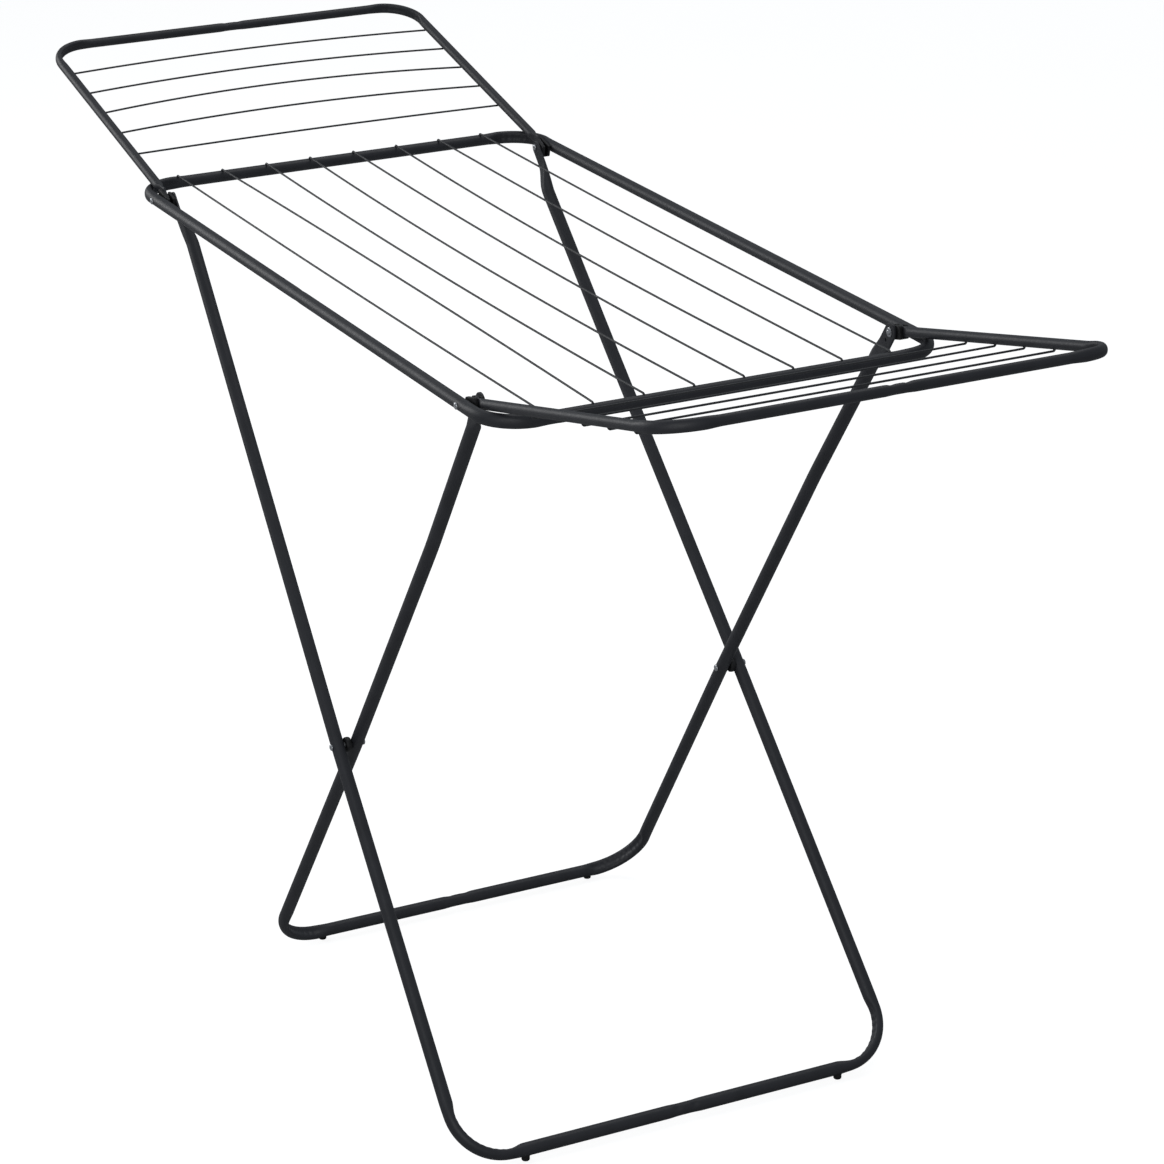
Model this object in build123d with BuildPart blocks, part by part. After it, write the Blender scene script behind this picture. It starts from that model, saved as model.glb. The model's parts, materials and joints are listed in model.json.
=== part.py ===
"""Folding clothes drying rack: main frame with two hinged wings on crossed leg frames.

+X runs along the rack (length), +Y across it, +Z up; the floor is z = 0 and the
origin is on the floor under the middle of the rack.  All lengths in millimetres.
"""
from build123d import *
import math
import os

os.makedirs("parts", exist_ok=True)

# ---------------------------------------------------------------- driving sizes
# main frame
frame_height = 903.0          # centre line of the main frame above the floor
frame_half_length = 502.0     # to the centre line of each end bar
frame_half_width = 265.0      # to the centre line of each side tube
frame_radius = 7.0            # tube outside radius
frame_wall = 0.8
frame_corner = 48.0           # bend radius of the corners

# leg frames, "outer" is hinged at the back end, "inner" is caught at the front end
leg_radius = 7.75
leg_wall = 0.8
leg_corner = 58.0
foot_bar_height = 12.5        # centre line of the floor bars
outer_top_x = -438.0
outer_foot_x = 411.0
inner_top_x = 424.0
inner_foot_x = -193.0
leg_top_half_width = 241.0
outer_cross_half_width = 263.1
outer_foot_half_width = 276.0
inner_cross_half_width = 239.7
inner_foot_half_width = 251.6
leg_plate_half_height = 10.5
leg_plate_inner_y = 242.6
leg_plate_outer_y = 245.6

# wings
wing_radius = 5.75
wing_wall = 0.7
wing_corner = 46.0
wing_half_width = 251.9
wing_reach = 842.0            # outer bar centre line, measured from the middle of the rack
wing_rise = math.radians(13.4)
back_arm_offset = 2.6         # arm centre line above its pivot
front_arm_offset = 0.0
wing_plate_radius = 6.3
wing_plate_inner_y = 250.4
wing_plate_outer_y = 253.4

# wires
wire_radius = 1.2
wire_hole_radius = 1.25
wire_bend = 1.6               # centre line radius, the bend sits just clear of the tube
wire_tail = 4.5               # length of the turned-down end inside the tube wall
main_wire_count = 8
main_wire_pitch = 58.5
main_wire_shift = -5.64       # the set of wires sits off centre
wing_wire_from_bar = (290.6, 233.6, 177.6, 121.6, 64.6)

# corner blocks and fasteners
block_inner_y = 246.0
block_outer_y = 257.4
slot_inner_y = 249.8
slot_outer_y = 254.0
block_nose = 16.0             # reach along the arm, outward from the pivot
block_tail = 8.0
back_block_nose = 5
back_block_tail = 14
block_top = 7.0               # above and below the arm line through the pivot
block_bottom = 8.5
slot_floor = 6.6
rivet_radius = 3.0
rivet_hole_radius = 3.06
rivet_head_radius = 5.0
rivet_head_height = 2.2
washer_radius = 7.0
washer_height = 1.0
catch_hole_radius = 2.0
catch_hole_distance = 13.0
spacer_radius = 10.0
spacer_inner_gap = 0.6        # to the inner leg tube, which leans a little
spacer_outer_gap = 0.45
head_gap = 0.3                # rivet heads sit on slightly sloping tubes
joint_spigot = 26.0
spigot_play = 0.03
foot_peg_radius = 5.0
outer_peg_length = 16.5
inner_peg_length = 14.5
outer_peg_y = 201.0
inner_peg_y = 185.0


# ---------------------------------------------------------------- derived geometry
def direction(from_x, from_z, to_x, to_z):
    """Unit vector in the XZ plane and the distance between two points."""
    run = to_x - from_x
    rise = to_z - from_z
    span = math.hypot(run, rise)
    return Vector(run / span, 0, rise / span), span


outer_up, outer_length = direction(outer_foot_x, foot_bar_height, outer_top_x, frame_height)
inner_up, inner_length = direction(inner_foot_x, foot_bar_height, inner_top_x, frame_height)

# both legs span the same height, so they cross at the same fraction of their length
cross_fraction = (inner_top_x - outer_top_x) / (
    (outer_foot_x - outer_top_x) + (inner_top_x - inner_foot_x)
)
cross_x = outer_top_x + cross_fraction * (outer_foot_x - outer_top_x)
cross_z = frame_height - cross_fraction * (frame_height - foot_bar_height)
outer_cross_v = outer_length * (1 - cross_fraction)
inner_cross_v = inner_length * (1 - cross_fraction)

main_wire_ys = [
    (number - (main_wire_count - 1) / 2) * main_wire_pitch + main_wire_shift
    for number in range(main_wire_count)
]


def wing_layout(outward):
    """Plane of one wing (x along the arms, z up) and the arm length."""
    if outward < 0:
        pivot_x = outer_top_x
        offset = back_arm_offset
    else:
        pivot_x = inner_top_x
        offset = front_arm_offset
    along = Vector(outward * math.cos(wing_rise), 0, math.sin(wing_rise))
    up = Vector(-outward * math.sin(wing_rise), 0, math.cos(wing_rise))
    pivot = Vector(pivot_x, 0, frame_height)
    origin = pivot + up * offset
    arm = (wing_reach - abs(origin.X)) / math.cos(wing_rise)
    return Plane(origin=origin, x_dir=along, z_dir=up), arm, offset


# ---------------------------------------------------------------- main frame
def frame_half(outward):
    """One U-shaped half of the main frame, joined to the other at the side tubes."""
    bar_x = outward * frame_half_length
    joint_x = 0.0
    with BuildPart() as half:
        with BuildLine(Plane.XY.offset(frame_height)) as centre:
            FilletPolyline(
                (joint_x, -frame_half_width),
                (bar_x, -frame_half_width),
                (bar_x, frame_half_width),
                (joint_x, frame_half_width),
                radius=frame_corner,
            )
        start = Plane(origin=centre.line @ 0, z_dir=centre.line % 0)
        with BuildSketch(start):
            Circle(frame_radius)
            Circle(frame_radius - frame_wall, mode=Mode.SUBTRACT)
        sweep(path=centre.line)
        # swaged spigots of the back half slide into the front half
        if outward < 0:
            for side in (-1, 1):
                mouth = Plane(
                    origin=(joint_x, side * frame_half_width, frame_height),
                    x_dir=(0, 1, 0),
                    z_dir=(1, 0, 0),
                )
                spigot_radius = frame_radius - frame_wall - spigot_play
                with BuildSketch(mouth.offset(-frame_wall)):
                    Circle(frame_radius - frame_wall / 2)
                    Circle(spigot_radius - frame_wall, mode=Mode.SUBTRACT)
                extrude(amount=frame_wall)
                with BuildSketch(mouth.offset(-frame_wall)):
                    Circle(spigot_radius)
                    Circle(spigot_radius - frame_wall, mode=Mode.SUBTRACT)
                extrude(amount=joint_spigot + frame_wall)
        # drilled holes for the turned-down wire ends
        with BuildSketch(Plane.XY.offset(frame_height)):
            for wire_y in main_wire_ys:
                with Locations((bar_x, wire_y)):
                    Circle(wire_hole_radius)
        extrude(amount=frame_radius + wire_bend, mode=Mode.SUBTRACT)
        # rivet holes through both side tubes
        rivet_x = outer_top_x if outward < 0 else inner_top_x
        with BuildSketch(Plane.XZ):
            with Locations((rivet_x, frame_height)):
                Circle(rivet_hole_radius)
        extrude(amount=frame_half_width + 2 * frame_radius, both=True, mode=Mode.SUBTRACT)
    return half


def main_wire(wire_y):
    """A straight wire on top of both end bars, its ends turned down into them."""
    top_z = frame_height + frame_radius + wire_bend
    end_z = top_z - wire_bend - wire_tail
    with BuildPart() as wire:
        with BuildLine(Plane.XZ.offset(-wire_y)) as centre:
            FilletPolyline(
                (-frame_half_length, end_z),
                (-frame_half_length, top_z),
                (frame_half_length, top_z),
                (frame_half_length, end_z),
                radius=wire_bend,
            )
        with BuildSketch(Plane(origin=centre.line @ 0, z_dir=centre.line % 0)):
            Circle(wire_radius)
        sweep(path=centre.line)
    return wire


# ---------------------------------------------------------------- leg frames
def leg_half(side, foot_x, up, length, cross_v, cross_half_width, foot_half_width, latch):
    """One J-shaped half of a leg frame: half the floor bar, one arm, a flattened top."""
    leg_plane = Plane(
        origin=(foot_x, 0, foot_bar_height), x_dir=(0, 1, 0), z_dir=Vector(0, 1, 0).cross(up)
    )
    tube_end = length - 45.0
    plate_start = length - 20.0
    plate_middle_y = (leg_plate_inner_y + leg_plate_outer_y) / 2
    plate_thickness = leg_plate_outer_y - leg_plate_inner_y
    with BuildPart() as half:
        with BuildLine(leg_plane) as centre:
            FilletPolyline(
                (0, 0),
                (side * foot_half_width, 0),
                (side * cross_half_width, cross_v),
                (side * leg_top_half_width, tube_end),
                radius=leg_corner,
            )
        start = Plane(origin=centre.line @ 0, z_dir=centre.line % 0)
        with BuildSketch(start):
            Circle(leg_radius)
            Circle(leg_radius - leg_wall, mode=Mode.SUBTRACT)
        sweep(path=centre.line)
        # left halves carry the swaged spigot of the floor bar joint
        if side < 0:
            spigot_radius = leg_radius - leg_wall - spigot_play
            with BuildSketch(start):
                Circle(leg_radius - leg_wall / 2)
                Circle(spigot_radius - leg_wall, mode=Mode.SUBTRACT)
            extrude(amount=leg_wall)
            with BuildSketch(start.offset(leg_wall)):
                Circle(spigot_radius)
                Circle(spigot_radius - leg_wall, mode=Mode.SUBTRACT)
            extrude(amount=-joint_spigot - leg_wall)
        # the tube is pressed flat towards the outside of the rack
        base = Vector(foot_x, 0, foot_bar_height)
        across = Vector(0, side, 0)
        tube_section = Plane(
            origin=centre.line @ 1, x_dir=(0, 1, 0), z_dir=centre.line % 1
        )
        plate_section = Plane(
            origin=base + up * plate_start + across * plate_middle_y, x_dir=(0, 1, 0), z_dir=up
        )
        with BuildSketch(tube_section):
            Circle(leg_radius)
        with BuildSketch(plate_section):
            RectangleRounded(plate_thickness, 2 * leg_plate_half_height, 1.2)
        loft()
        # eye of the flattened end
        normal_plane = Plane(origin=(foot_x, 0, foot_bar_height), x_dir=up, z_dir=(0, side, 0))
        eye_plane = normal_plane.offset(leg_plate_inner_y)
        with BuildSketch(eye_plane):
            with Locations((length - 10.0, 0)):
                Rectangle(20.0, 2 * leg_plate_half_height)
            with Locations((length, 0)):
                Circle(leg_plate_half_height)
        extrude(amount=plate_thickness)
        with BuildSketch(eye_plane.offset(-2 * leg_radius)):
            with Locations((length, 0)):
                Circle(rivet_hole_radius)
            if latch:
                with Locations((length - catch_hole_distance, 0)):
                    Circle(catch_hole_radius)
        extrude(amount=3 * leg_radius, mode=Mode.SUBTRACT)
        # cross pivot hole
        with BuildSketch(normal_plane.offset(cross_half_width - 2 * leg_radius)):
            with Locations((cross_v, 0)):
                Circle(rivet_hole_radius)
        extrude(amount=4 * leg_radius, mode=Mode.SUBTRACT)
        # socket for the foot peg, square to the floor bar in the plane of the leg
        peg_y = outer_peg_y if not latch else inner_peg_y
        peg_plane = Plane(origin=(foot_x, side * peg_y, foot_bar_height), z_dir=-up)
        with BuildSketch(peg_plane):
            Circle(foot_peg_radius - 1.2)
        extrude(amount=2 * leg_radius, mode=Mode.SUBTRACT)
    return half


def foot_peg(side, foot_x, up, peg_y, peg_length):
    """Rubber plug pushed into the floor bar, cut level with the floor."""
    peg_plane = Plane(origin=(foot_x, side * peg_y, foot_bar_height), z_dir=-up)
    with BuildPart() as peg:
        with BuildSketch(peg_plane.offset(leg_radius - 2.2)):
            Circle(foot_peg_radius - 1.25)
        extrude(amount=2.4)
        with BuildSketch(peg_plane.offset(leg_radius + 0.1)):
            Circle(foot_peg_radius)
        extrude(amount=peg_length - leg_radius - 0.1)
        with BuildSketch(Plane.XY):
            with Locations((foot_x, side * peg_y)):
                Rectangle(80, 40)
        extrude(amount=-20, mode=Mode.SUBTRACT)
    return peg


def cross_rivet(side):
    """Rivet of the crossing: outer tube, spacer and inner tube on one shank."""
    outer_face = outer_cross_half_width + leg_radius
    inner_face = inner_cross_half_width - leg_radius
    axis_plane = Plane(origin=(cross_x, 0, cross_z), x_dir=(1, 0, 0), z_dir=(0, side, 0))
    with BuildPart() as rivet:
        with BuildSketch(axis_plane.offset(inner_face - head_gap)):
            Circle(rivet_radius)
        extrude(amount=outer_face - inner_face + 2 * head_gap)
        with BuildSketch(axis_plane.offset(outer_face + head_gap)):
            Circle(rivet_head_radius)
        extrude(amount=rivet_head_height, taper=30)
        with BuildSketch(axis_plane.offset(inner_face - head_gap)):
            Circle(rivet_head_radius)
        extrude(amount=-rivet_head_height, taper=30)
    return rivet


def cross_spacer(side):
    """Plastic disc that keeps the two leg tubes apart."""
    inner_face = inner_cross_half_width + leg_radius + spacer_inner_gap
    outer_face = outer_cross_half_width - leg_radius - spacer_outer_gap
    axis_plane = Plane(origin=(cross_x, 0, cross_z), x_dir=(1, 0, 0), z_dir=(0, side, 0))
    with BuildPart() as spacer:
        with BuildSketch(axis_plane.offset(inner_face)):
            Circle(spacer_radius)
            Circle(rivet_hole_radius, mode=Mode.SUBTRACT)
        extrude(amount=outer_face - inner_face)
        chamfer(spacer.edges().filter_by(GeomType.CIRCLE).group_by(SortBy.RADIUS)[-1], 0.8)
    return spacer


def latch_rivet(side):
    """Headed stud on the flattened top of the inner leg, flush on the catch side."""
    axis_plane = Plane(origin=(inner_top_x, 0, frame_height), x_dir=(1, 0, 0), z_dir=(0, side, 0))
    with BuildPart() as rivet:
        with BuildSketch(axis_plane.offset(leg_plate_inner_y - washer_height)):
            Circle(rivet_radius)
        extrude(amount=leg_plate_outer_y - leg_plate_inner_y + washer_height)
        with BuildSketch(axis_plane.offset(leg_plate_inner_y - washer_height)):
            Circle(rivet_head_radius)
        extrude(amount=-rivet_head_height, taper=30)
    return rivet


def latch_washer(side):
    """Washer under the head of the latch stud."""
    axis_plane = Plane(origin=(inner_top_x, 0, frame_height), x_dir=(1, 0, 0), z_dir=(0, side, 0))
    with BuildPart() as washer:
        with BuildSketch(axis_plane.offset(leg_plate_inner_y - washer_height)):
            Circle(washer_radius)
            Circle(rivet_hole_radius, mode=Mode.SUBTRACT)
        extrude(amount=washer_height - 0.02)
    return washer


# ---------------------------------------------------------------- corner blocks
def corner_block(side, outward):
    """Moulded socket between side tube and leg, square to the resting wing arm."""
    pivot_x = outer_top_x if outward < 0 else inner_top_x
    block_plane = Plane(
        origin=(pivot_x, 0, frame_height),
        x_dir=(outward * math.cos(wing_rise), 0, math.sin(wing_rise)),
        z_dir=(0, side, 0),
    )
    rise = 1 if (outward * side) < 0 else -1
    nose = back_block_nose if outward < 0 else block_nose
    tail = back_block_tail if outward < 0 else block_tail
    with BuildPart() as block:
        with BuildSketch(block_plane.offset(block_inner_y)):
            with Locations(((nose - tail) / 2, rise * (block_top - block_bottom) / 2)):
                RectangleRounded(nose + tail, block_top + block_bottom, 2.5)
        extrude(amount=block_outer_y - block_inner_y)
        # slot for the flattened end of the wing arm, which rests on its floor
        with BuildSketch(block_plane.offset(slot_inner_y)):
            with Locations((0, rise * (20 - slot_floor) / 2)):
                Rectangle(60, 20 + slot_floor)
        extrude(amount=slot_outer_y - slot_inner_y, mode=Mode.SUBTRACT)
        with BuildSketch(block_plane.offset(block_inner_y - 1)):
            Circle(rivet_hole_radius)
        extrude(amount=block_outer_y - block_inner_y + 2, mode=Mode.SUBTRACT)
    return block


def corner_rivet(side, outward):
    """Rivet through side tube, block and wing arm; the back ones also hold the leg."""
    pivot_x = outer_top_x if outward < 0 else inner_top_x
    axis_plane = Plane(origin=(pivot_x, 0, frame_height), x_dir=(1, 0, 0), z_dir=(0, side, 0))
    outer_face = frame_half_width + frame_radius
    inner_face = leg_plate_inner_y - 0.3 if outward < 0 else block_inner_y
    with BuildPart() as rivet:
        with BuildSketch(axis_plane.offset(inner_face)):
            Circle(rivet_radius)
        extrude(amount=outer_face - inner_face + 0.2)
        with BuildSketch(axis_plane.offset(outer_face + 0.1)):
            Circle(rivet_head_radius - 0.5)
        extrude(amount=rivet_head_height, taper=30)
        if outward < 0:
            with BuildSketch(axis_plane.offset(inner_face)):
                Circle(rivet_head_radius)
            extrude(amount=-rivet_head_height, taper=30)
    return rivet


# ---------------------------------------------------------------- wings
def wing_half(side, outward):
    """One J-shaped half of a wing: half the outer bar, one arm, a flattened eye."""
    wing_plane, arm, offset = wing_layout(outward)
    local_side = side * outward
    tube_start = 31.0
    plate_start = 16.5
    plate_middle = (wing_plate_inner_y + wing_plate_outer_y) / 2
    plate_thickness = wing_plate_outer_y - wing_plate_inner_y
    along = wing_plane.x_dir
    with BuildPart() as half:
        with BuildLine(wing_plane) as centre:
            FilletPolyline(
                (arm, 0),
                (arm, local_side * wing_half_width),
                (tube_start, local_side * wing_half_width),
                radius=wing_corner,
            )
        start = Plane(origin=centre.line @ 0, z_dir=centre.line % 0)
        with BuildSketch(start):
            Circle(wing_radius)
            Circle(wing_radius - wing_wall, mode=Mode.SUBTRACT)
        sweep(path=centre.line)
        if side < 0:
            spigot_radius = wing_radius - wing_wall - spigot_play
            with BuildSketch(start):
                Circle(wing_radius - wing_wall / 2)
                Circle(spigot_radius - wing_wall, mode=Mode.SUBTRACT)
            extrude(amount=wing_wall)
            with BuildSketch(start.offset(wing_wall)):
                Circle(spigot_radius)
                Circle(spigot_radius - wing_wall, mode=Mode.SUBTRACT)
            extrude(amount=-joint_spigot - wing_wall)
        # flattened end
        base = wing_plane.origin + Vector(0, side * wing_half_width, 0)
        with BuildSketch(Plane(origin=base + along * tube_start, x_dir=(0, 1, 0), z_dir=-along)):
            Circle(wing_radius)
        flat_base = wing_plane.origin + Vector(0, side * plate_middle, 0)
        flat_plane = Plane(origin=flat_base + along * plate_start, x_dir=(0, 1, 0), z_dir=-along)
        with BuildSketch(flat_plane):
            RectangleRounded(plate_thickness, 2 * (wing_plate_radius - 0.5), 1.2)
        loft()
        # eye around the pivot
        eye_plane = Plane(
            origin=wing_plane.origin + Vector(0, side * wing_plate_inner_y, 0),
            x_dir=along,
            z_dir=(0, side, 0),
        )
        rise = 1 if (outward * side) < 0 else -1
        with BuildSketch(eye_plane):
            with Locations((0, -rise * offset)):
                Circle(wing_plate_radius)
            with Locations((plate_start - 0.25, 0)):
                Rectangle(0.5, 2 * (wing_plate_radius - 0.5))
            make_hull()
        extrude(amount=plate_thickness)
        with BuildSketch(eye_plane.offset(-2)):
            with Locations((0, -rise * offset)):
                Circle(rivet_hole_radius)
        extrude(amount=plate_thickness + 4, mode=Mode.SUBTRACT)
        # drilled holes on the underside for the wires
        with BuildSketch(wing_plane):
            for distance in wing_wire_from_bar:
                with Locations((arm - distance, local_side * wing_half_width)):
                    Circle(wire_hole_radius)
        extrude(amount=-wing_radius - wire_bend, mode=Mode.SUBTRACT)
    return half


def wing_wire(outward, distance):
    """A wire under the two arms of a wing, its ends turned up into them."""
    wing_plane, arm, offset = wing_layout(outward)
    level = -(wing_radius + wire_bend)
    across_plane = Plane(
        origin=wing_plane.origin + wing_plane.x_dir * (arm - distance),
        x_dir=(0, 1, 0),
        z_dir=Vector(0, 1, 0).cross(wing_plane.z_dir),
    )
    end_level = level + wire_bend + wire_tail - 1.0
    with BuildPart() as wire:
        with BuildLine(across_plane) as centre:
            FilletPolyline(
                (-wing_half_width, end_level),
                (-wing_half_width, level),
                (wing_half_width, level),
                (wing_half_width, end_level),
                radius=wire_bend,
            )
        with BuildSketch(Plane(origin=centre.line @ 0, z_dir=centre.line % 0)):
            Circle(wire_radius)
        sweep(path=centre.line)
    return wire


# ---------------------------------------------------------------- build and save
pieces = {}

pieces["main_frame_tube_back"] = frame_half(-1)
pieces["main_frame_tube_front"] = frame_half(1)
for number, wire_y in enumerate(main_wire_ys, start=1):
    pieces[f"main_wire_{number}"] = main_wire(wire_y)

for side, side_name in ((-1, "left"), (1, "right")):
    for outward, end_name in ((-1, "back"), (1, "front")):
        pieces[f"corner_block_{end_name}_{side_name}"] = corner_block(side, outward)
        pieces[f"corner_rivet_{end_name}_{side_name}"] = corner_rivet(side, outward)
        pieces[f"{end_name}_wing_tube_{side_name}"] = wing_half(side, outward)
    pieces[f"outer_leg_tube_{side_name}"] = leg_half(
        side, outer_foot_x, outer_up, outer_length, outer_cross_v,
        outer_cross_half_width, outer_foot_half_width, False,
    )
    pieces[f"inner_leg_tube_{side_name}"] = leg_half(
        side, inner_foot_x, inner_up, inner_length, inner_cross_v,
        inner_cross_half_width, inner_foot_half_width, True,
    )
    pieces[f"outer_leg_foot_{side_name}"] = foot_peg(
        side, outer_foot_x, outer_up, outer_peg_y, outer_peg_length
    )
    pieces[f"inner_leg_foot_{side_name}"] = foot_peg(
        side, inner_foot_x, inner_up, inner_peg_y, inner_peg_length
    )
    pieces[f"cross_rivet_{side_name}"] = cross_rivet(side)
    pieces[f"cross_spacer_{side_name}"] = cross_spacer(side)
    pieces[f"latch_rivet_{side_name}"] = latch_rivet(side)
    pieces[f"latch_washer_{side_name}"] = latch_washer(side)

for outward, end_name in ((-1, "back"), (1, "front")):
    for number, distance in enumerate(wing_wire_from_bar, start=1):
        pieces[f"{end_name}_wing_wire_{number}"] = wing_wire(outward, distance)

for piece_name, piece in pieces.items():
    piece.part.label = piece_name
    export_step(piece.part, f"parts/{piece_name}.step")
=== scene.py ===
import json
import math

import bmesh
import bpy
import numpy as np
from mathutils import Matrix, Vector


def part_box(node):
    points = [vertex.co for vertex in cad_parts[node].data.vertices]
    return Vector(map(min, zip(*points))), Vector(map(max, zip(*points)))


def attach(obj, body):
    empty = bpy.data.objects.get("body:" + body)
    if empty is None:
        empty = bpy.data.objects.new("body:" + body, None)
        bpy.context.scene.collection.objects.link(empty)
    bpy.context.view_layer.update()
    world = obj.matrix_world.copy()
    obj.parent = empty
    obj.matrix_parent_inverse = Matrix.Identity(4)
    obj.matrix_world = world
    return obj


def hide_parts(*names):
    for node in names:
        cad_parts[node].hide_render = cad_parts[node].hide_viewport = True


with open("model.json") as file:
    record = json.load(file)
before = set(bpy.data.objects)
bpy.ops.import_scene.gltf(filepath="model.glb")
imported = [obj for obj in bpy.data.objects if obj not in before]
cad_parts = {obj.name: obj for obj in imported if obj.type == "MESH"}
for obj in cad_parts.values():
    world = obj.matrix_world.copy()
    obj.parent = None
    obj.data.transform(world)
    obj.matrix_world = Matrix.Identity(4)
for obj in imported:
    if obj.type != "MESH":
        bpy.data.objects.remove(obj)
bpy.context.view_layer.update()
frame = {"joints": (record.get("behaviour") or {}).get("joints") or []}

JOINTS = {j["name"]: j for j in frame["joints"]}
RISE = math.radians(13.4)        # wings at rest, above level
FRAME_R = 0.007                  # tube radii
LEG_R = 0.00775
WING_R = 0.00575
WIRE_R = 0.0012
PLATE_Y = 0.2442                 # half width to the middle of the legs' flat ends
FRAME_CORNER = 0.048             # bend radii on the centre line
LEG_CORNER = 0.058
WING_CORNER = 0.046
PIVOT_R = 0.003                  # shank of every rivet
ARM_END = 0.0063                 # wing arms reach this far past their pivot
WIRE_OFFSET = -0.00296           # main wires stand this far along y from the wires of the frame
WING_WIRE_GAPS = (0.289, 0.232, 0.176, 0.120, 0.063)   # from the outer bar, along the arms
X_AXIS = np.array([1.0, 0.0, 0.0])
Y_AXIS = np.array([0.0, 1.0, 0.0])
Z_AXIS = np.array([0.0, 0.0, 1.0])


def arr(v):
    return np.array([float(x) for x in v])


def smooth(t):
    t = np.clip(t, 0.0, 1.0)
    return t * t * (3 - 2 * t)


# ------------------------------------------------------------------ materials
def new_material(name):
    """A material with its node tree's parts: material, nodes, links, main shader."""
    mat = bpy.data.materials.new(name)
    mat.use_nodes = True
    nodes = mat.node_tree.nodes
    shader = nodes["Principled BSDF"]
    return mat, nodes, mat.node_tree.links, shader


def noise(nodes, links, coord, scale, detail=3.0, rough=0.5):
    n = nodes.new("ShaderNodeTexNoise")
    n.inputs["Scale"].default_value = scale
    n.inputs["Detail"].default_value = detail
    n.inputs["Roughness"].default_value = rough
    links.new(coord, n.inputs["Vector"])
    return n


def ramp(nodes, links, fac, stops):
    r = nodes.new("ShaderNodeValToRGB")
    while len(r.color_ramp.elements) < len(stops):
        r.color_ramp.elements.new(0.5)
    for e, (pos, col) in zip(r.color_ramp.elements, stops):
        e.position = pos
        e.color = (*col, 1.0) if len(col) == 3 else col
    links.new(fac, r.inputs["Fac"])
    return r


def grey(v):
    return (v, v, v)


def coated_metal(name, dark, light, rough_low, rough_high, bump):
    """Satin powder coat: fine orange peel, faint cloudiness in tone and gloss."""
    mat, nodes, links, shader = new_material(name)
    coord = nodes.new("ShaderNodeTexCoord").outputs["Object"]
    cloud = noise(nodes, links, coord, 38.0, 4.0)
    tone = ramp(nodes, links, cloud.outputs["Fac"], [(0.3, dark), (0.72, light)])
    links.new(tone.outputs["Color"], shader.inputs["Base Color"])
    fine = noise(nodes, links, coord, 420.0, 3.0)
    gloss = ramp(nodes, links, fine.outputs["Fac"], [(0.25, grey(rough_low)), (0.8, grey(rough_high))])
    links.new(gloss.outputs["Color"], shader.inputs["Roughness"])
    peel = noise(nodes, links, coord, 900.0, 2.0)
    b = nodes.new("ShaderNodeBump")
    b.inputs["Strength"].default_value = bump
    b.inputs["Distance"].default_value = 0.00015
    links.new(peel.outputs["Fac"], b.inputs["Height"])
    links.new(b.outputs["Normal"], shader.inputs["Normal"])
    shader.inputs["Specular IOR Level"].default_value = 0.55
    return mat


def plastic(name, dark, light, rough_low, rough_high, bump, scale):
    mat, nodes, links, shader = new_material(name)
    coord = nodes.new("ShaderNodeTexCoord").outputs["Object"]
    cloud = noise(nodes, links, coord, 60.0, 3.0)
    tone = ramp(nodes, links, cloud.outputs["Fac"], [(0.3, dark), (0.7, light)])
    links.new(tone.outputs["Color"], shader.inputs["Base Color"])
    grain = noise(nodes, links, coord, scale, 3.0)
    gloss = ramp(nodes, links, grain.outputs["Fac"], [(0.3, grey(rough_low)), (0.75, grey(rough_high))])
    links.new(gloss.outputs["Color"], shader.inputs["Roughness"])
    b = nodes.new("ShaderNodeBump")
    b.inputs["Strength"].default_value = bump
    b.inputs["Distance"].default_value = 0.0002
    links.new(grain.outputs["Fac"], b.inputs["Height"])
    links.new(b.outputs["Normal"], shader.inputs["Normal"])
    return mat


def zinc(name):
    mat, nodes, links, shader = new_material(name)
    coord = nodes.new("ShaderNodeTexCoord").outputs["Object"]
    cloud = noise(nodes, links, coord, 300.0, 4.0)
    stops = [(0.25, (0.42, 0.43, 0.45)), (0.75, (0.66, 0.67, 0.69))]
    tone = ramp(nodes, links, cloud.outputs["Fac"], stops)
    links.new(tone.outputs["Color"], shader.inputs["Base Color"])
    gloss = ramp(nodes, links, cloud.outputs["Fac"], [(0.2, grey(0.28)), (0.8, grey(0.44))])
    links.new(gloss.outputs["Color"], shader.inputs["Roughness"])
    b = nodes.new("ShaderNodeBump")
    b.inputs["Strength"].default_value = 0.15
    b.inputs["Distance"].default_value = 0.0001
    links.new(cloud.outputs["Fac"], b.inputs["Height"])
    links.new(b.outputs["Normal"], shader.inputs["Normal"])
    shader.inputs["Metallic"].default_value = 1.0
    return mat


TUBE = coated_metal("charcoal_powder_coat", (0.019, 0.020, 0.025), (0.028, 0.029, 0.036), 0.46, 0.60, 0.25)
WIRE = coated_metal("wire_powder_coat", (0.022, 0.023, 0.026), (0.032, 0.033, 0.037), 0.42, 0.55, 0.15)
BLOCK = plastic("moulded_black", (0.004, 0.004, 0.005), (0.008, 0.008, 0.009), 0.5, 0.66, 0.3, 700.0)
RUBBER = plastic("foot_rubber", (0.006, 0.006, 0.006), (0.011, 0.011, 0.011), 0.72, 0.86, 0.4, 500.0)
STEEL = zinc("zinc_plated_steel")


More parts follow.
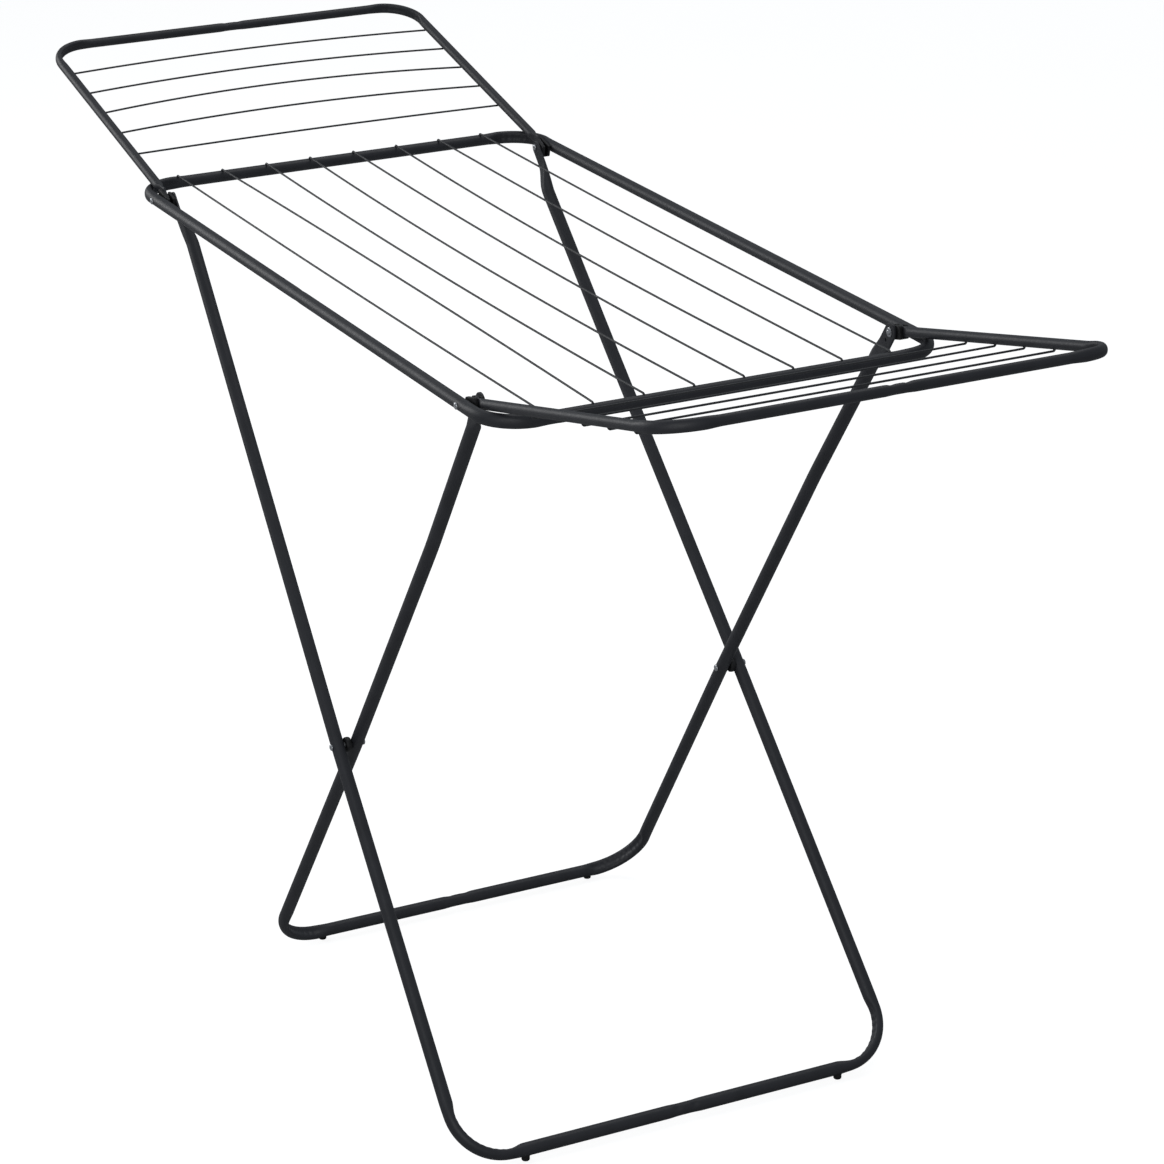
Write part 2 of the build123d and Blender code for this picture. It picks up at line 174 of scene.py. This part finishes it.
# ------------------------------------------------------------------ mesh helpers
def finish_mesh(name, verts, faces, mat, body, nodes, sharp=38.0):
    mesh = bpy.data.meshes.new(name)
    mesh.from_pydata([tuple(v) for v in verts], [], faces)
    mesh.validate()
    bm = bmesh.new()
    bm.from_mesh(mesh)
    bmesh.ops.remove_doubles(bm, verts=bm.verts, dist=1e-7)
    bmesh.ops.recalc_face_normals(bm, faces=bm.faces)
    bm.to_mesh(mesh)
    bm.free()
    mesh.materials.append(mat)
    mesh.shade_smooth()
    mesh.set_sharp_from_angle(angle=math.radians(sharp))
    obj = bpy.data.objects.new(name, mesh)
    bpy.context.scene.collection.objects.link(obj)
    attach(obj, body)
    if nodes:
        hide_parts(*nodes)
    return obj


def skin(rings):
    """Quads between closed rings of equal size, flat caps at both ends."""
    rings = np.asarray(rings)
    n, k, _ = rings.shape
    verts = rings.reshape(-1, 3)
    faces = []
    for i in range(n - 1):
        for j in range(k):
            a = i * k + j
            b = i * k + (j + 1) % k
            faces.append((a, b, b + k, a + k))
    faces.append(tuple(range(k - 1, -1, -1)))
    faces.append(tuple(range((n - 1) * k, n * k)))
    return verts, faces


def turned(v, angle):
    c, s = math.cos(angle), math.sin(angle)
    return np.array([v[0] * c - v[1] * s, v[0] * s + v[1] * c])


def route(points, radii):
    """Planar polyline with round corners: a function from arc length to position and tangent,
    the corners as (start, end, sign, angle), and the total length."""
    pts = [np.array(p, float) for p in points]
    pieces = []
    cursor = pts[0]
    bends = []
    s = 0.0
    for i in range(1, len(pts)):
        d_in = pts[i] - pts[i - 1]
        d_in /= np.linalg.norm(d_in)
        r = radii[i] if i < len(pts) - 1 else 0.0
        if r > 0:
            d_out = pts[i + 1] - pts[i]
            d_out /= np.linalg.norm(d_out)
            turn = math.atan2(d_in[0] * d_out[1] - d_in[1] * d_out[0], float(d_in @ d_out))
            cut = r * math.tan(abs(turn) / 2)
            end = pts[i] - d_in * cut
        else:
            turn = 0.0
            end = pts[i]
        length = float(np.linalg.norm(end - cursor))
        pieces.append(("line", cursor, d_in, length, s))
        s += length
        if r > 0:
            sign = 1.0 if turn > 0 else -1.0
            normal = np.array([-d_in[1], d_in[0]]) * sign
            centre = end + normal * r
            arc = r * abs(turn)
            pieces.append(("arc", centre, (end - centre), sign, s, arc, r))
            bends.append((s, s + arc, sign, abs(turn)))
            s += arc
            cursor = centre + turned(end - centre, turn)
        else:
            cursor = end
    total = s

    def at(q):
        for p in pieces:
            if p[0] == "line":
                if q <= p[4] + p[3] + 1e-9:
                    return p[1] + p[2] * (q - p[4]), p[2]
            else:
                if q <= p[4] + p[5] + 1e-9:
                    rot = turned(p[2], p[3] * (q - p[4]) / p[6])
                    t = np.array([-rot[1], rot[0]]) * p[3] / p[6]
                    return p[1] + rot, t
        return pieces[-1][1] + pieces[-1][2] * pieces[-1][3], pieces[-1][2]

    return at, bends, total


def stations(total, zones, fine=0.0011, coarse=0.011):
    """Arc lengths, dense inside the zones (start, end), sparse elsewhere."""
    out = [0.0]
    q = 0.0
    while q < total - 1e-9:
        near = min((max(a - q, q - b, 0.0) for a, b in zones), default=1.0)
        step = fine if near <= 0 else min(coarse, fine + near * 0.25)
        q = min(total, q + step)
        out.append(q)
    return out


def pressed_tube(origin, u_axis, v_axis, points, radii, radius, crimp=None, flat=None, lip=False,
                 press=0.30, swell=0.16, sides=56, tip=0.0):
    """Round tube along a planar route. Corners are pressed on their inner side. Optional are a
    crimp that waists the start, a small lip there, and an end flattened to a plate."""
    at, bends, total = route(points, radii)
    w_axis = np.cross(u_axis, v_axis)
    zones = [(a - 0.022, b + 0.022) for a, b, _, turn in bends if turn > 0.3]
    if crimp:
        zones.append((0.0, crimp["length"] + 0.01))
    if flat:
        zones.append((total - flat["length"] - 0.01, total))
    if tip:
        zones.append((total - tip, total))
    phis = np.linspace(0, 2 * math.pi, sides, endpoint=False)
    rings = []
    for q in stations(total, zones):
        c2, t2 = at(q)
        n2 = np.array([-t2[1], t2[0]])
        x = np.cos(phis) * radius
        y = np.sin(phis) * radius
        for a, b, sign, turn in bends:
            if turn < 0.3:
                continue
            w = float(smooth((q - a + 0.014) / 0.02) * smooth((b + 0.014 - q) / 0.02))
            if w <= 0:
                continue
            xi = x * sign
            inner = np.clip(xi / radius, 0, 1)
            outer = np.clip(-xi / radius, 0, 1)
            groove = np.exp(-((y / (0.42 * radius)) ** 2))
            inside = float(smooth((q - a) / 0.012) * smooth((b - q) / 0.012))
            ripple = 0.045 * inside * math.cos((q - a) * 2 * math.pi / 0.0085)
            xi = xi * (1 - w * (press * 1.35 * inner + press * 0.42 * outer))
            xi = xi - radius * w * inner * (0.20 * groove + ripple * inner)
            y = y * (1 + swell * w * (1 - 0.25 * np.abs(np.cos(phis))))
            x = xi * sign
        if crimp:
            e = q / crimp["length"]
            w = float(1 - smooth((e - 0.35) / 0.65))
            x = x * (1 - crimp["waist"] * w)
            y = y * (1 - crimp["waist"] * w)
            for dent_q, dent_phi, depth, size in crimp.get("dents", []):
                d = np.arctan2(np.sin(phis - dent_phi), np.cos(phis - dent_phi)) * radius
                g = depth * np.exp(-((d / size) ** 2 + ((q - dent_q) / size) ** 2))
                x = x * (1 - g / radius)
                y = y * (1 - g / radius)
        if lip:
            w = float(smooth(1 - q / 0.0012))
            x = x * (1 - 0.05 * w)
            y = y * (1 - 0.05 * w)
        if flat:
            e = q - (total - flat["length"])
            if e > 0:
                t = float(smooth(e / flat["taper"]))
                half_t = radius + (flat["thick"] / 2 - radius) * t
                half_h = radius + (flat["height"] - radius) * t
                power = 2.0 / (2.0 + 5.0 * t)
                cs, sn = np.cos(phis), np.sin(phis)
                x = np.sign(cs) * np.abs(cs) ** power * half_t
                y = np.sign(sn) * np.abs(sn) ** power * half_h
                end = flat["length"] - e
                if end < flat["round"]:
                    k = math.sqrt(max(0.0, 1 - ((flat["round"] - end) / flat["round"]) ** 2))
                    y = y * max(k, 0.06)
                edge = min(1.0, end / 0.0006)
                x = x * (0.55 + 0.45 * math.sqrt(max(0.0, edge)))
        base = origin + u_axis * c2[0] + v_axis * c2[1]
        side_axis = u_axis * n2[0] + v_axis * n2[1]
        ring = (
            base[None, :]
            + side_axis[None, :] * x[:, None]
            + w_axis[None, :] * y[:, None]
        )
        rings.append(ring)
    return rings


def revolve(origin, axis, profile, segments=40):
    """Solid of revolution: profile is (distance along the axis, radius) from end to end."""
    axis = axis / np.linalg.norm(axis)
    helper = Z_AXIS if abs(axis[2]) < 0.9 else X_AXIS
    e1 = np.cross(axis, helper)
    e1 /= np.linalg.norm(e1)
    e2 = np.cross(axis, e1)
    verts, faces, rows = [], [], []
    for d, r in profile:
        c = origin + axis * d
        if r < 1e-7:
            rows.append([len(verts)])
            verts.append(c)
        else:
            row = []
            for i in range(segments):
                a = 2 * math.pi * i / segments
                row.append(len(verts))
                verts.append(c + (e1 * math.cos(a) + e2 * math.sin(a)) * r)
            rows.append(row)
    for a, b in zip(rows[:-1], rows[1:]):
        for i in range(segments):
            j = (i + 1) % segments
            if len(a) == 1 and len(b) > 1:
                faces.append((a[0], b[i], b[j]))
            elif len(b) == 1 and len(a) > 1:
                faces.append((a[i], a[j], b[0]))
            elif len(a) > 1:
                faces.append((a[i], a[j], b[j], b[i]))
    return verts, faces


def drill(obj, centre, axis, radius, depth):
    """Bores a round hole right through."""
    start = arr(centre) - arr(axis) * depth
    profile = [(0, 0), (0, radius), (2 * depth, radius), (2 * depth, 0)]
    cut(obj, *revolve(start, arr(axis), profile, 32))


def cut(obj, verts, faces):
    """Takes a closed shape out of a piece with a boolean, applied at once."""
    mesh = bpy.data.meshes.new("cutter")
    mesh.from_pydata([tuple(p) for p in verts], [], faces)
    bm = bmesh.new()
    bm.from_mesh(mesh)
    bmesh.ops.recalc_face_normals(bm, faces=bm.faces)
    bm.to_mesh(mesh)
    bm.free()
    bit = bpy.data.objects.new("cutter", mesh)
    bpy.context.scene.collection.objects.link(bit)
    mod = obj.modifiers.new("cut", "BOOLEAN")
    mod.operation = "DIFFERENCE"
    mod.solver = "EXACT"
    mod.object = bit
    apply_modifiers(obj)
    bpy.data.objects.remove(bit)
    bpy.data.meshes.remove(mesh)
    obj.data.shade_smooth()
    obj.data.set_sharp_from_angle(angle=math.radians(38))


def apply_modifiers(obj):
    bpy.context.view_layer.update()
    graph = bpy.context.evaluated_depsgraph_get()
    baked = bpy.data.meshes.new_from_object(obj.evaluated_get(graph))
    old = obj.data
    obj.modifiers.clear()
    obj.data = baked
    bpy.data.meshes.remove(old)


# ------------------------------------------------------------------ sizes from the frame
front_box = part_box("main_frame_tube_front")
half_length = front_box[1].x - FRAME_R
half_width = front_box[1].y - FRAME_R
frame_z = front_box[1].z - FRAME_R
back_pivot = arr(JOINTS["leg_fold"]["pos_m"])
front_pivot = arr(JOINTS["front_wing_hinge"]["pos_m"])
cross = arr(JOINTS["inner_leg_fold"]["pos_m"])
outer_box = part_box("outer_leg_tube_right")
inner_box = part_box("inner_leg_tube_right")
foot_z = outer_box[0].z + LEG_R

# ------------------------------------------------------------------ main frame
for name, outward in (("back", -1), ("front", 1)):
    rings = pressed_tube(
        np.array([0.0, 0.0, frame_z]), X_AXIS, Y_AXIS,
        [(0, -half_width), (outward * half_length, -half_width),
         (outward * half_length, half_width), (0, half_width)],
        [0, FRAME_CORNER, FRAME_CORNER, 0], FRAME_R, press=0.24, swell=0.12, lip=True,
    )
    verts, faces = skin(rings)
    node = "main_frame_tube_" + name
    finish_mesh("main_tube_" + name, verts, faces, TUBE, "main_frame", [node])


# ------------------------------------------------------------------ leg frames
def build_legs(name, foot_x, top, widths, latch, end):
    """Both halves of a leg frame. widths: half widths at the crossing and above it, per side,
    then at the foot and just below the flat end. end: where the flattening starts and how long
    it takes, then how far the plate reaches past the pivot and its half height."""
    cross_y, mid_y, foot_y, top_y = widths
    flat_from, flat_taper, beyond, plate = end
    foot = np.array([foot_x, 0.0, foot_z])
    up = np.array([top[0] - foot_x, 0.0, top[2] - foot_z])
    length = float(np.linalg.norm(up))
    up /= length
    cross_v = float((cross - foot) @ up)
    mid_v = cross_v + 0.6 * (length - cross_v)
    for side, side_name in ((-1, "left"), (1, "right")):
        dent = (0.011, math.pi / 2 * (-1 if latch else 1) * side, 0.0016, 0.004)
        rings = pressed_tube(
            foot, np.array([0.0, side, 0.0]), up,
            [(0, 0), (foot_y, 0), (cross_y[side], cross_v), (mid_y[side], mid_v),
             (top_y, length - flat_from), (top_y, length + beyond)],
            [0, LEG_CORNER, 0.6, 0.9, 0.2, 0], LEG_R, press=0.30, swell=0.17,
            crimp={"length": 0.022, "waist": 0.075, "dents": [dent]},
            flat={"length": flat_from + beyond, "taper": flat_taper, "thick": 0.003,
                  "height": plate, "round": beyond},
        )
        rings = np.array(rings)
        # the flattened end lies against the outside: slide its sections outward along y
        d = (rings.mean(axis=1) - foot) @ up
        t = smooth((d - (length - flat_from)) / flat_taper)
        rings[:, :, 1] += side * t[:, None] * (PLATE_Y - top_y)
        verts, faces = skin(rings)
        node = f"{name}_leg_tube_{side_name}"
        obj = finish_mesh("leg_" + node, verts, faces, TUBE, f"{name}_leg", [node])
        if latch:
            hole = foot + up * (length - 0.013)
            drill(obj, (hole[0], side * PLATE_Y, hole[2]), (0, 1, 0), 0.002, 0.01)


OUTER_CROSS = {-1: 0.2633, 1: 0.2613}     # the tubes are not bent quite alike on the two sides
INNER_CROSS = {-1: 0.2397, 1: 0.2397}
outer_foot_x = outer_box[1].x - LEG_R
inner_foot_x = inner_box[0].x + LEG_R
outer_widths = (OUTER_CROSS, {-1: 0.2474, 1: 0.2458}, outer_box[1].y - LEG_R + 0.0010, 0.2388)
inner_widths = (INNER_CROSS, {-1: 0.2368, 1: 0.2372}, inner_box[1].y - LEG_R, 0.2410)
build_legs("outer", outer_foot_x, back_pivot, outer_widths, False, (0.066, 0.046, 0.0072, 0.0086))
build_legs("inner", inner_foot_x, front_pivot, inner_widths, True, (0.045, 0.026, 0.0105, 0.0100))


# ------------------------------------------------------------------ wings
def wing_frame(end):
    outward = -1 if end == "back" else 1
    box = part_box(f"{end}_wing_tube_right")
    bar = np.array([(box[0].x + WING_R) if outward < 0 else (box[1].x - WING_R), 0.0, box[1].z - WING_R])
    along = np.array([outward * math.cos(RISE), 0.0, math.sin(RISE)])
    normal = np.array([-outward * math.sin(RISE), 0.0, math.cos(RISE)])
    pivot = back_pivot if outward < 0 else front_pivot
    arm = float((bar - pivot) @ along)
    origin = bar - along * arm
    offset = float((origin - pivot) @ normal)
    width = box[1].y - WING_R
    return outward, origin, along, normal, arm, offset, width


for end in ("back", "front"):
    outward, origin, along, normal, arm, offset, width = wing_frame(end)
    for side, side_name in ((-1, "left"), (1, "right")):
        u_axis = np.array([0.0, side, 0.0])
        # the route runs from the middle of the outer bar, round the corner and in along the arm
        w_axis = np.cross(u_axis, along)
        up_sign = 1.0 if w_axis @ normal > 0 else -1.0
        rings = pressed_tube(
            origin, u_axis, along,
            [(0, arm), (width, arm), (width, -ARM_END)],
            [0, WING_CORNER, 0], WING_R, press=0.27, swell=0.14, tip=0.045,
            crimp={"length": 0.018, "waist": 0.08,
                   "dents": [(0.009, math.pi / 2 * up_sign, 0.0012, 0.003)]},
        )
        rings = np.array(rings)
        rel = rings - origin
        d = rel @ along
        n = rel @ normal
        y = rings[:, :, 1] - side * width
        inner = d.mean(axis=1) < 0.12
        t = smooth((0.031 - d) / 0.0145) * inner[:, None]
        # flatten across, raise a small tip on its upper edge, then round the end about the pivot
        y = y * (1 - t) + t * np.clip(y * 0.5, -0.0015, 0.0015)
        flare = np.exp(-(((d - 0.0105) / 0.0022) ** 2)) * inner[:, None]
        n = n * (1 + t * (0.0060 / WING_R - 1) + np.where(n > 0, 0.45, 0.0) * flare)
        around = np.clip((0.004 - d) / 0.0105, 0, 1) * inner[:, None]
        centring = offset * smooth((0.016 - d) / 0.014) * inner[:, None]
        n = n * np.sqrt(np.clip(1 - around ** 2.4, 0.02, 1)) - centring
        rings = origin + d[:, :, None] * along + n[:, :, None] * normal
        rings[:, :, 1] = side * width + y
        verts, faces = skin(rings)
        node = f"{end}_wing_tube_{side_name}"
        finish_mesh("arm_" + node, verts, faces, TUBE, f"{end}_wing", [node])


# ------------------------------------------------------------------ wires
def wire_mesh(name, body, node, start, run, up, span, bow):
    """Wire with turned-down ends, bowed sideways by bow at mid span."""
    side = np.cross(run, up)
    r = 0.0016
    tail = 0.0028
    pts = []
    steps = 6
    pts.append(start - up * (r + tail))
    for i in range(steps + 1):
        a = math.pi / 2 * i / steps
        pts.append(start + run * (r - r * math.cos(a)) + up * (-r + r * math.sin(a)))
    count = 44
    for i in range(1, count):
        e = i / count
        q = r + (span - 2 * r) * e
        g = 4 * e * (1 - e)
        pts.append(start + run * q + side * bow * g)
    end = start + run * span
    for i in range(steps, -1, -1):
        a = math.pi / 2 * i / steps
        pts.append(end - run * (r - r * math.cos(a)) + up * (-r + r * math.sin(a)))
    pts.append(end - up * (r + tail))
    pts = np.array(pts)
    tang = np.gradient(pts, axis=0)
    tang /= np.linalg.norm(tang, axis=1)[:, None]
    rings = []
    k = 18
    n_pts = len(pts)
    for i, (p, t) in enumerate(zip(pts, tang)):
        e1 = side - t * float(side @ t)
        e1 /= np.linalg.norm(e1)
        e2 = np.cross(t, e1)
        near = min(i, n_pts - 1 - i)
        rad = WIRE_R * (1.22 if 1 <= near <= 2 else 1.1 if near == 3 else 1.0)
        a = np.linspace(0, 2 * math.pi, k, endpoint=False)
        rings.append(p + (e1[None, :] * np.cos(a)[:, None] + e2[None, :] * np.sin(a)[:, None]) * rad)
    verts, faces = skin(rings)
    return finish_mesh(name, verts, faces, WIRE, body, [node])


MAIN_BOWS = (-0.003, 0.0035, -0.0085, -0.0115, -0.010, -0.012, -0.0055, -0.005)   # sideways, at mid span
for i in range(8):
    node = f"main_wire_{i + 1}"
    lo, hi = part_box(node)
    y = (lo.y + hi.y) / 2 + WIRE_OFFSET
    top = hi.z - WIRE_R
    wire_mesh("line_" + node, "main_frame", node, np.array([lo.x + WIRE_R, y, top]), X_AXIS, Z_AXIS,
              hi.x - lo.x - 2 * WIRE_R, -MAIN_BOWS[i])

WING_BOWS = {"back": (0.004, 0.015, 0.020, 0.015, 0.011), "front": (0.004, 0.005, 0.002, 0.001, -0.002)}
for end in ("back", "front"):
    outward, origin, along, normal, arm, offset, width = wing_frame(end)
    for i, gap in enumerate(WING_WIRE_GAPS):
        node = f"{end}_wing_wire_{i + 1}"
        lo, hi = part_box(node)
        start = origin + along * (arm - gap) - normal * (WING_R + 0.0016) + np.array([0, -width, 0])
        # run +y, "up" is away from the arm so the ends turn up into it
        run = Y_AXIS
        up = -normal
        side = np.cross(run, up)
        bow = WING_BOWS[end][i] * (1.0 if side @ along > 0 else -1.0)
        wire_mesh("line_" + node, f"{end}_wing", node, start, run, up, 2 * width, bow)


# ------------------------------------------------------------------ rivets and spacers
def head_profile(base, radius, height, outward=1.0):
    """Domed rivet head from its rim at base to its crown."""
    rows = [(base, radius * 0.97), (base + outward * height * 0.18, radius)]
    for i in range(1, 8):
        a = math.pi / 2 * i / 8
        rows.append((base + outward * height * (0.18 + 0.82 * math.sin(a)), radius * math.cos(a) ** 0.8))
    rows.append((base + outward * height, 0.0))
    return rows


def rivet(name, node, body, centre, side, inner_head, outer_head, radius=0.0048, height=0.0022):
    """Shank along y with a head at either end; faces are distances from the middle plane."""
    rows = []
    if inner_head is not None:
        rows += list(reversed(head_profile(inner_head, radius, height, -1.0)))
        rows.append((inner_head, PIVOT_R))
    else:
        lo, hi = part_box(node)
        edge = lo.y if side > 0 else -hi.y
        rows += [(edge, 0.0), (edge, PIVOT_R)]
    if outer_head is not None:
        rows.append((outer_head, PIVOT_R))
        rows += head_profile(outer_head, 0.0039, height * 0.85, 1.0)
    else:
        lo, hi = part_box(node)
        edge = hi.y if side > 0 else -lo.y
        rows += [(edge, PIVOT_R), (edge, 0.0)]
    verts, faces = revolve(np.array([centre[0], 0.0, centre[2]]), np.array([0.0, side, 0.0]), rows)
    return finish_mesh(name, verts, faces, STEEL, body, [node], 50)


for side, s_name in ((-1, "left"), (1, "right")):
    outer_face = half_width + FRAME_R
    rivet(f"stud_back_{s_name}", f"corner_rivet_back_{s_name}", "main_frame", back_pivot, side,
          PLATE_Y - 0.0018, outer_face - 0.0002, radius=0.0038)
    rivet(f"stud_front_{s_name}", f"corner_rivet_front_{s_name}", "main_frame", front_pivot, side,
          None, outer_face - 0.0002)
    rivet(f"stud_cross_{s_name}", f"cross_rivet_{s_name}", "outer_leg", cross, side,
          INNER_CROSS[side] - LEG_R - 0.0002, OUTER_CROSS[side] + LEG_R + 0.0001, radius=0.0042)
    rivet(f"stud_latch_{s_name}", f"latch_rivet_{s_name}", "inner_leg", front_pivot, side,
          PLATE_Y - 0.0025, None, radius=0.0031, height=0.0018)
    w0, w1 = PLATE_Y - 0.0024, PLATE_Y - 0.00155
    verts, faces = revolve(
        np.array([front_pivot[0], 0.0, front_pivot[2]]), np.array([0.0, side, 0.0]),
        [(w0, 0.0031), (w0, 0.0050), (w0 + 0.0002, 0.0053), (w1 - 0.0001, 0.0053), (w1, 0.0051),
         (w1, 0.0031), (w0, 0.0031)],
    )
    node = f"latch_washer_{s_name}"
    finish_mesh(f"ring_latch_{s_name}", verts, faces, STEEL, "inner_leg", [node], 50)
    lo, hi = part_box(f"cross_spacer_{s_name}")
    a, b = (lo.y, hi.y) if side > 0 else (-hi.y, -lo.y)
    mid = (a + b) / 2
    rows = [(a, 0.0031), (a, 0.0074)]
    for i in range(1, 8):
        t = -math.pi / 2 + math.pi * i / 8
        rows.append((mid + (b - a) / 2 * math.sin(t), 0.0074 + 0.0014 * math.cos(t)))
    rows += [(b, 0.0074), (b, 0.0031), (a, 0.0031)]
    verts, faces = revolve(np.array([cross[0], 0.0, cross[2]]), np.array([0.0, side, 0.0]), rows, 48)
    node = f"cross_spacer_{s_name}"
    finish_mesh(f"disc_cross_{s_name}", verts, faces, BLOCK, "outer_leg", [node], 45)


# ------------------------------------------------------------------ corner blocks and feet
def outline(u0, u1, v0, v1, r, inset=0.0):
    """Rounded rectangle as (u, v) points, counter-clockwise."""
    pts = []
    corners = ((u1 - r, v0 + r, -90), (u1 - r, v1 - r, 0), (u0 + r, v1 - r, 90), (u0 + r, v0 + r, 180))
    for cu, cv, a0 in corners:
        for i in range(9):
            a = math.radians(a0 + 90 * i / 8)
            pts.append((cu + (r - inset) * math.cos(a), cv + (r - inset) * math.sin(a)))
    return pts


BLOCK_NOSE = 0.016               # outward of the pivot, along the arm
BLOCK_OUTER = 0.2574
for end, outward, pivot, tail in (("back", -1, back_pivot, 0.014), ("front", 1, front_pivot, 0.008)):
    along = np.array([outward * math.cos(RISE), 0.0, math.sin(RISE)])
    normal = np.array([-outward * math.sin(RISE), 0.0, math.cos(RISE)])
    for side, side_name in ((-1, "left"), (1, "right")):
        centre = np.array([pivot[0], 0.0, pivot[2]])
        across = np.array([0.0, side, 0.0])
        rings = []
        edge = 0.0007
        face = PLATE_Y + 0.0019
        layers = [(face, edge)]
        for a in (0.5, 1.0, math.pi / 2):
            layers.append((face + edge * (1 - math.cos(a)), edge * (1 - math.sin(a))))
        layers += [(BLOCK_OUTER - y + face, inset) for y, inset in reversed(layers)]
        for y, inset in layers:
            rings.append([centre + across * y + along * u + normal * v
                          for u, v in outline(-tail, BLOCK_NOSE, -0.0085, 0.0070, 0.0025, inset)])
        verts, faces = skin(rings)
        node = f"corner_block_{end}_{side_name}"
        obj = finish_mesh("socket_" + node, verts, faces, BLOCK, "main_frame", [node])
        slot = [[centre + across * y + along * u + normal * v
                 for u, v in ((-0.03, -0.0066), (0.03, -0.0066), (0.03, 0.02), (-0.03, 0.02))]
                for y in (0.2498, 0.2540)]
        cut(obj, *skin(slot))
        if end == "back":
            # only the outer cheek reaches outward of the pivot
            relief = [[centre + across * y + along * u + normal * v
                       for u, v in ((0.0045, -0.02), (0.03, -0.02), (0.03, 0.02), (0.0045, 0.02))]
                      for y in (0.2300, 0.2541)]
            cut(obj, *skin(relief))
        drill(obj, centre + across * 0.2517, across, 0.00306, 0.012)

pegs = (("outer", outer_foot_x, 0.0014, 0.201), ("inner", inner_foot_x, -0.0030, 0.185))
for name, foot_x, lean, spread in pegs:
    for side, side_name in ((-1, "left"), (1, "right")):
        rows = [(0.0, 0.0), (0.0, 0.0034), (0.0003, 0.0041), (0.0010, 0.0046), (0.0020, 0.0048)]
        rows += [(foot_z - 0.0070, 0.0046), (foot_z - 0.0066, 0.0052)]
        rows += [(foot_z - 0.0030, 0.0052), (foot_z - 0.0030, 0.0)]
        verts, faces = revolve(np.array([foot_x + lean, side * spread, 0.0]), Z_AXIS, rows, 36)
        node = f"{name}_leg_foot_{side_name}"
        finish_mesh("peg_" + node, verts, faces, RUBBER, f"{name}_leg", [node], 50)


# ------------------------------------------------------------------ floor, light, camera
def material_floor():
    """Pale sweep: bright to the camera, dim to the object so that its undersides stay dark."""
    mat, nodes, links, shader = new_material("studio_floor")
    coord = nodes.new("ShaderNodeTexCoord").outputs["Object"]
    n = noise(nodes, links, coord, 3.0)
    r = ramp(nodes, links, n.outputs["Fac"], [(0.0, grey(0.42)), (1.0, grey(0.44))])
    links.new(r.outputs["Color"], shader.inputs["Base Color"])
    shader.inputs["Roughness"].default_value = 0.9
    glow = nodes.new("ShaderNodeEmission")
    glow.inputs["Strength"].default_value = 0.86
    path = nodes.new("ShaderNodeLightPath")
    both = nodes.new("ShaderNodeAddShader")
    links.new(shader.outputs["BSDF"], both.inputs[0])
    links.new(glow.outputs["Emission"], both.inputs[1])
    mix = nodes.new("ShaderNodeMixShader")
    links.new(path.outputs["Is Camera Ray"], mix.inputs["Fac"])
    links.new(shader.outputs["BSDF"], mix.inputs[1])
    links.new(both.outputs["Shader"], mix.inputs[2])
    links.new(mix.outputs["Shader"], nodes["Material Output"].inputs["Surface"])
    return mat


mesh = bpy.data.meshes.new("floor")
mesh.from_pydata([(-14, -14, 0), (14, -14, 0), (14, 14, 0), (-14, 14, 0)], [], [(0, 1, 2, 3)])
mesh.materials.append(material_floor())
floor = bpy.data.objects.new("floor", mesh)
bpy.context.scene.collection.objects.link(floor)

world = bpy.data.worlds.new("studio")
bpy.context.scene.world = world
world.use_nodes = True
w_nodes = world.node_tree.nodes
w_links = world.node_tree.links
seen = w_nodes["Background"]
seen.inputs["Color"].default_value = (1, 1, 1, 1)
ambient = w_nodes.new("ShaderNodeBackground")
ambient.inputs["Color"].default_value = (0.86, 0.93, 1.0, 1)
ambient.inputs["Strength"].default_value = 0.27
w_path = w_nodes.new("ShaderNodeLightPath")
w_mix = w_nodes.new("ShaderNodeMixShader")
w_links.new(w_path.outputs["Is Camera Ray"], w_mix.inputs["Fac"])
w_links.new(ambient.outputs["Background"], w_mix.inputs[1])
w_links.new(seen.outputs["Background"], w_mix.inputs[2])
w_links.new(w_mix.outputs["Shader"], w_nodes["World Output"].inputs["Surface"])


def area(name, location, target, size, power, size_y=None):
    data = bpy.data.lights.new(name, "AREA")
    data.energy = power
    data.size = size
    if size_y:
        data.shape = "RECTANGLE"
        data.size_y = size_y
    obj = bpy.data.objects.new(name, data)
    obj.location = location
    obj.rotation_euler = (Vector(target) - Vector(location)).to_track_quat("-Z", "Y").to_euler()
    bpy.context.scene.collection.objects.link(obj)
    return obj


area("side_box", (-2.9, -1.9, 1.75), (0, 0, 0.8), 2.2, 32, 1.5)
area("top_box", (-0.9, 0.9, 3.6), (0, 0, 0.6), 2.4, 18, 1.6)
area("front_fill", (3.4, -3.0, 2.2), (0, 0, 0.6), 2.6, 42)

data = bpy.data.cameras.new("view")
data.sensor_width = 36.0
data.lens = 120.0495
data.clip_end = 60
camera = bpy.data.objects.new("view", data)
camera.location = (3.830564, -1.840799, 2.187575)
camera.rotation_euler = (1.194994, 0.008657, 1.101932)
bpy.context.scene.collection.objects.link(camera)
bpy.context.scene.camera = camera
bpy.context.scene.view_settings.view_transform = "Standard"
